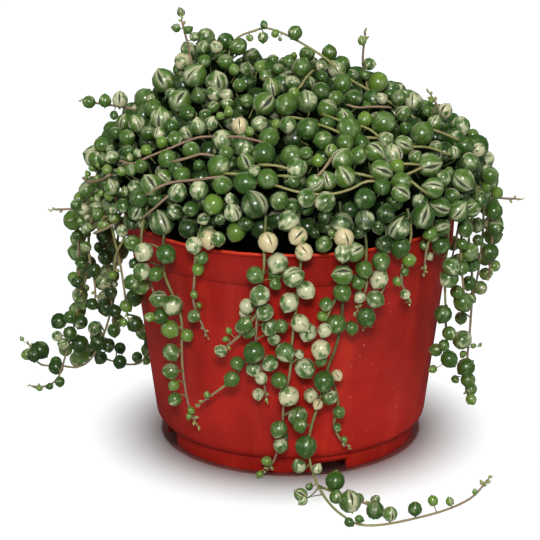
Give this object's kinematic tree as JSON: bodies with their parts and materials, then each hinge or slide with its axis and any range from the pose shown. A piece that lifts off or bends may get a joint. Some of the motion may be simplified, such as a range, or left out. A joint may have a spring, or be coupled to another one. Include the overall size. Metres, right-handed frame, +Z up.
{
  "type": "potted variegated string of pearls",
  "caption": "Trailing succulent with round green and cream pearls on thin stems, in a round red plastic nursery pot; pearl strings hang over the lip and one lies on the surface.",
  "frame": {"origin": "on the surface that the pot stands on, at the pot's axis", "axes": "+Z up along the pot's axis, -Y towards the front of the plant, +X to its right"},
  "size_m": [0.2223, 0.2027, 0.1793],
  "materials": {
    "pot": "satin",
    "soil": "matte",
    "mound": "gloss",
    "pearls": "gloss"
  },
  "bodies": {
    "root": {"pot": "pot", "soil": "soil", "crown": "mound", "trail_front_1": "pearls", "trail_front_2": "pearls", "trail_front_3": "pearls", "trail_front_4": "pearls", "trail_front_5": "pearls", "trail_front_6": "pearls", "trail_front_7": "pearls", "trail_front_8": "pearls", "trail_left_1": "pearls", "trail_left_2": "pearls", "trail_left_3": "pearls", "trail_left_4": "pearls", "trail_left_5": "pearls", "trail_left_6": "pearls", "trail_left_7": "pearls", "trail_left_8": "pearls", "trail_left_9": "pearls", "trail_right_1": "pearls", "trail_right_2": "pearls", "trail_right_3": "pearls", "trail_right_4": "pearls", "trail_right_5": "pearls", "trail_right_6": "pearls", "trail_back_1": "pearls", "trail_back_2": "pearls", "trail_back_3": "pearls", "trail_back_4": "pearls", "trail_back_5": "pearls", "trail_back_6": "pearls"}
  },
  "joints": []
}
